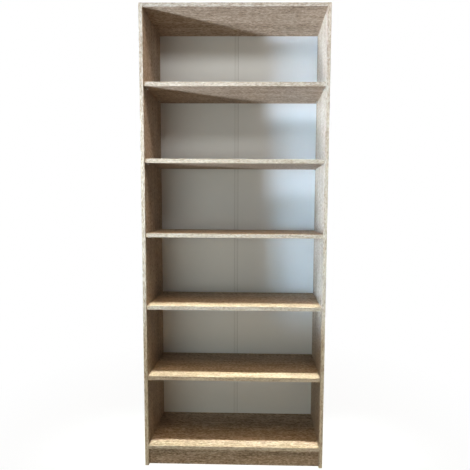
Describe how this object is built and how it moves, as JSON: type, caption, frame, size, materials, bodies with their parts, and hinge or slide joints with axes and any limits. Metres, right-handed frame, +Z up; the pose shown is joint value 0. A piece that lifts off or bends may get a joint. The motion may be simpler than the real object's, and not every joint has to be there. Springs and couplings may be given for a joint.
{
  "type": "bookcase",
  "caption": "Tall narrow open bookcase of wood-decor board, with pinned shelves that draw out, a low plinth and a white two-sheet back.",
  "frame": {"origin": "middle of the footprint, on the floor", "axes": "+X to the right seen from the front, +Y to the rear, +Z up; the open front faces -Y"},
  "size_m": [0.8, 0.28, 2.014],
  "materials": {
    "board_decor": "grey-brown oak melamine, fine streaks",
    "edge_band": "oak-decor edge band, satin",
    "back_sheet": "white lacquered hardboard",
    "white_plastic": "white extruded strip",
    "cam_zinc": "bright zinc die casting",
    "bright_steel": "zinc-plated steel",
    "dowel_beech": "bare beech",
    "cap_plastic": "grey-brown plastic",
    "pin_nickel": "nickel-plated steel"
  },
  "bodies": {
    "carcass": {"left_side": "board_decor", "right_side": "board_decor", "top_panel": "board_decor", "bottom_panel": "board_decor", "plinth": "board_decor", "left_side_edge_band": "edge_band", "right_side_edge_band": "edge_band", "top_edge_band": "edge_band", "bottom_edge_band": "edge_band", "back_panel_left": "back_sheet", "back_panel_right": "back_sheet", "back_joint_strip": "white_plastic", "cam_locks": "cam_zinc", "cam_bolts": "bright_steel", "wood_dowels": "dowel_beech", "cam_caps": "cap_plastic", "back_nails": "bright_steel"},
    "shelf_1": {"shelf_1": "board_decor", "shelf_1_edge_band": "edge_band"},
    "shelf_2": {"shelf_2": "board_decor", "shelf_2_edge_band": "edge_band"},
    "shelf_3": {"shelf_3": "board_decor", "shelf_3_edge_band": "edge_band"},
    "shelf_4": {"shelf_4": "board_decor", "shelf_4_edge_band": "edge_band"},
    "shelf_5": {"shelf_5": "board_decor", "shelf_5_edge_band": "edge_band"},
    "shelf_1_pin_front_left": {"shelf_1_pin_front_left": "pin_nickel"},
    "shelf_1_pin_front_right": {"shelf_1_pin_front_right": "pin_nickel"},
    "shelf_1_pin_rear_left": {"shelf_1_pin_rear_left": "pin_nickel"},
    "shelf_1_pin_rear_right": {"shelf_1_pin_rear_right": "pin_nickel"},
    "shelf_2_pin_front_left": {"shelf_2_pin_front_left": "pin_nickel"},
    "shelf_2_pin_front_right": {"shelf_2_pin_front_right": "pin_nickel"},
    "shelf_2_pin_rear_left": {"shelf_2_pin_rear_left": "pin_nickel"},
    "shelf_2_pin_rear_right": {"shelf_2_pin_rear_right": "pin_nickel"},
    "shelf_3_pin_front_left": {"shelf_3_pin_front_left": "pin_nickel"},
    "shelf_3_pin_front_right": {"shelf_3_pin_front_right": "pin_nickel"},
    "shelf_3_pin_rear_left": {"shelf_3_pin_rear_left": "pin_nickel"},
    "shelf_3_pin_rear_right": {"shelf_3_pin_rear_right": "pin_nickel"},
    "shelf_4_pin_front_left": {"shelf_4_pin_front_left": "pin_nickel"},
    "shelf_4_pin_front_right": {"shelf_4_pin_front_right": "pin_nickel"},
    "shelf_4_pin_rear_left": {"shelf_4_pin_rear_left": "pin_nickel"},
    "shelf_4_pin_rear_right": {"shelf_4_pin_rear_right": "pin_nickel"},
    "shelf_5_pin_front_left": {"shelf_5_pin_front_left": "pin_nickel"},
    "shelf_5_pin_front_right": {"shelf_5_pin_front_right": "pin_nickel"},
    "shelf_5_pin_rear_left": {"shelf_5_pin_rear_left": "pin_nickel"},
    "shelf_5_pin_rear_right": {"shelf_5_pin_rear_right": "pin_nickel"}
  },
  "joints": [
    {"name": "shelf_1_draw", "type": "slide", "parent": "carcass", "child": "shelf_1", "axis": [0, -1, 0], "range_m": [0, 0.3]},
    {"name": "shelf_2_draw", "type": "slide", "parent": "carcass", "child": "shelf_2", "axis": [0, -1, 0], "range_m": [0, 0.3]},
    {"name": "shelf_3_draw", "type": "slide", "parent": "carcass", "child": "shelf_3", "axis": [0, -1, 0], "range_m": [0, 0.3]},
    {"name": "shelf_4_draw", "type": "slide", "parent": "carcass", "child": "shelf_4", "axis": [0, -1, 0], "range_m": [0, 0.3]},
    {"name": "shelf_5_draw", "type": "slide", "parent": "carcass", "child": "shelf_5", "axis": [0, -1, 0], "range_m": [0, 0.3]},
    {"name": "shelf_1_pin_front_left_pull", "type": "slide", "parent": "carcass", "child": "shelf_1_pin_front_left", "axis": [1, 0, 0], "range_m": [0, 0.01]},
    {"name": "shelf_1_pin_front_right_pull", "type": "slide", "parent": "carcass", "child": "shelf_1_pin_front_right", "axis": [-1, 0, 0], "range_m": [0, 0.01]},
    {"name": "shelf_1_pin_rear_left_pull", "type": "slide", "parent": "carcass", "child": "shelf_1_pin_rear_left", "axis": [1, 0, 0], "range_m": [0, 0.01]},
    {"name": "shelf_1_pin_rear_right_pull", "type": "slide", "parent": "carcass", "child": "shelf_1_pin_rear_right", "axis": [-1, 0, 0], "range_m": [0, 0.01]},
    {"name": "shelf_2_pin_front_left_pull", "type": "slide", "parent": "carcass", "child": "shelf_2_pin_front_left", "axis": [1, 0, 0], "range_m": [0, 0.01]},
    {"name": "shelf_2_pin_front_right_pull", "type": "slide", "parent": "carcass", "child": "shelf_2_pin_front_right", "axis": [-1, 0, 0], "range_m": [0, 0.01]},
    {"name": "shelf_2_pin_rear_left_pull", "type": "slide", "parent": "carcass", "child": "shelf_2_pin_rear_left", "axis": [1, 0, 0], "range_m": [0, 0.01]},
    {"name": "shelf_2_pin_rear_right_pull", "type": "slide", "parent": "carcass", "child": "shelf_2_pin_rear_right", "axis": [-1, 0, 0], "range_m": [0, 0.01]},
    {"name": "shelf_3_pin_front_left_pull", "type": "slide", "parent": "carcass", "child": "shelf_3_pin_front_left", "axis": [1, 0, 0], "range_m": [0, 0.01]},
    {"name": "shelf_3_pin_front_right_pull", "type": "slide", "parent": "carcass", "child": "shelf_3_pin_front_right", "axis": [-1, 0, 0], "range_m": [0, 0.01]},
    {"name": "shelf_3_pin_rear_left_pull", "type": "slide", "parent": "carcass", "child": "shelf_3_pin_rear_left", "axis": [1, 0, 0], "range_m": [0, 0.01]},
    {"name": "shelf_3_pin_rear_right_pull", "type": "slide", "parent": "carcass", "child": "shelf_3_pin_rear_right", "axis": [-1, 0, 0], "range_m": [0, 0.01]},
    {"name": "shelf_4_pin_front_left_pull", "type": "slide", "parent": "carcass", "child": "shelf_4_pin_front_left", "axis": [1, 0, 0], "range_m": [0, 0.01]},
    {"name": "shelf_4_pin_front_right_pull", "type": "slide", "parent": "carcass", "child": "shelf_4_pin_front_right", "axis": [-1, 0, 0], "range_m": [0, 0.01]},
    {"name": "shelf_4_pin_rear_left_pull", "type": "slide", "parent": "carcass", "child": "shelf_4_pin_rear_left", "axis": [1, 0, 0], "range_m": [0, 0.01]},
    {"name": "shelf_4_pin_rear_right_pull", "type": "slide", "parent": "carcass", "child": "shelf_4_pin_rear_right", "axis": [-1, 0, 0], "range_m": [0, 0.01]},
    {"name": "shelf_5_pin_front_left_pull", "type": "slide", "parent": "carcass", "child": "shelf_5_pin_front_left", "axis": [1, 0, 0], "range_m": [0, 0.01]},
    {"name": "shelf_5_pin_front_right_pull", "type": "slide", "parent": "carcass", "child": "shelf_5_pin_front_right", "axis": [-1, 0, 0], "range_m": [0, 0.01]},
    {"name": "shelf_5_pin_rear_left_pull", "type": "slide", "parent": "carcass", "child": "shelf_5_pin_rear_left", "axis": [1, 0, 0], "range_m": [0, 0.01]},
    {"name": "shelf_5_pin_rear_right_pull", "type": "slide", "parent": "carcass", "child": "shelf_5_pin_rear_right", "axis": [-1, 0, 0], "range_m": [0, 0.01]}
  ]
}
